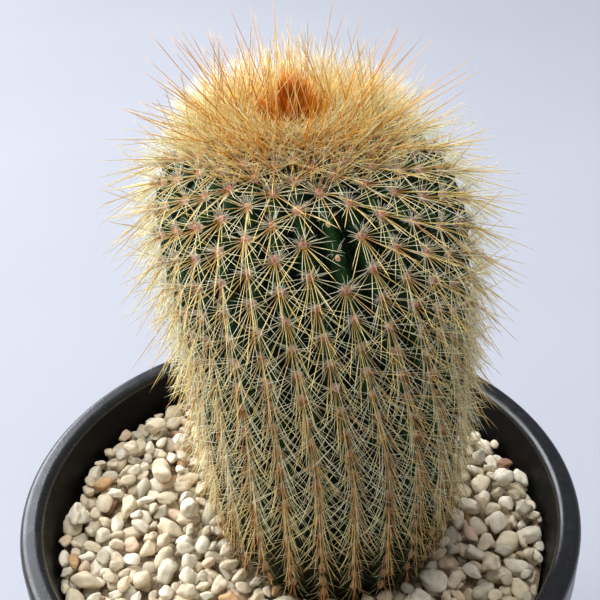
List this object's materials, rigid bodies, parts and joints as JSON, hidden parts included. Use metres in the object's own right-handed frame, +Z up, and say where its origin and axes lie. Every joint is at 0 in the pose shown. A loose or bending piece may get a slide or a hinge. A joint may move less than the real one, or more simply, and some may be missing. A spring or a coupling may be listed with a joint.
{
  "type": "potted columnar cactus",
  "caption": "Golden-spined ribbed columnar cactus with an orange crown tuft, standing in pale gravel in a round black plastic pot with a rounded lip.",
  "frame": {"origin": "on the ground under the middle of the pot", "axes": "+Z up along the pot's axis; +X towards the side of the pot that the stem stands nearer to; -Y towards the viewer of the front"},
  "size_m": [0.12, 0.12, 0.1986],
  "materials": {
    "pot": "black moulded plastic, satin, with a softly shining lip",
    "soil": "dark gritty potting mix",
    "gravel": "matt cream and white crushed gravel",
    "pebble": "matt cream, white and tan crushed stone",
    "stem": "waxy dark green skin with pale wool on the areoles",
    "spine": "fine translucent straw yellow bristles",
    "crown": "fine new bristles, orange red to gold"
  },
  "bodies": {
    "root": {"pot": "pot", "soil": "soil", "gravel_bed": "gravel", "stem": "stem", "pebble_01": "pebble", "pebble_02": "pebble", "pebble_03": "pebble", "pebble_04": "pebble", "pebble_05": "pebble", "pebble_06": "pebble", "pebble_07": "pebble", "pebble_08": "pebble", "pebble_09": "pebble", "pebble_10": "pebble", "pebble_11": "pebble", "pebble_12": "pebble", "pebble_13": "pebble", "pebble_14": "pebble", "pebble_15": "pebble", "pebble_16": "pebble", "pebble_17": "pebble", "pebble_18": "pebble", "pebble_19": "pebble", "pebble_20": "pebble", "pebble_21": "pebble", "pebble_22": "pebble", "pebble_23": "pebble", "spine_row_01": "spine", "spine_row_02": "spine", "spine_row_03": "spine", "spine_row_04": "spine", "spine_row_05": "spine", "spine_row_06": "spine", "spine_row_07": "spine", "spine_row_08": "spine", "spine_row_09": "spine", "spine_row_10": "spine", "spine_row_11": "spine", "spine_row_12": "spine", "spine_row_13": "spine", "spine_row_14": "spine", "spine_row_15": "spine", "spine_row_16": "spine", "spine_row_17": "spine", "spine_row_18": "spine", "spine_row_19": "spine", "spine_row_20": "spine", "spine_row_21": "spine", "spine_row_22": "spine", "spine_row_23": "spine", "spine_row_24": "spine", "spine_row_25": "spine", "spine_row_26": "spine", "spine_row_27": "spine", "spine_row_28": "spine", "spine_row_29": "spine", "spine_row_30": "spine", "spine_row_31": "spine", "spine_row_32": "spine", "crown_tuft": "crown"}
  },
  "joints": []
}
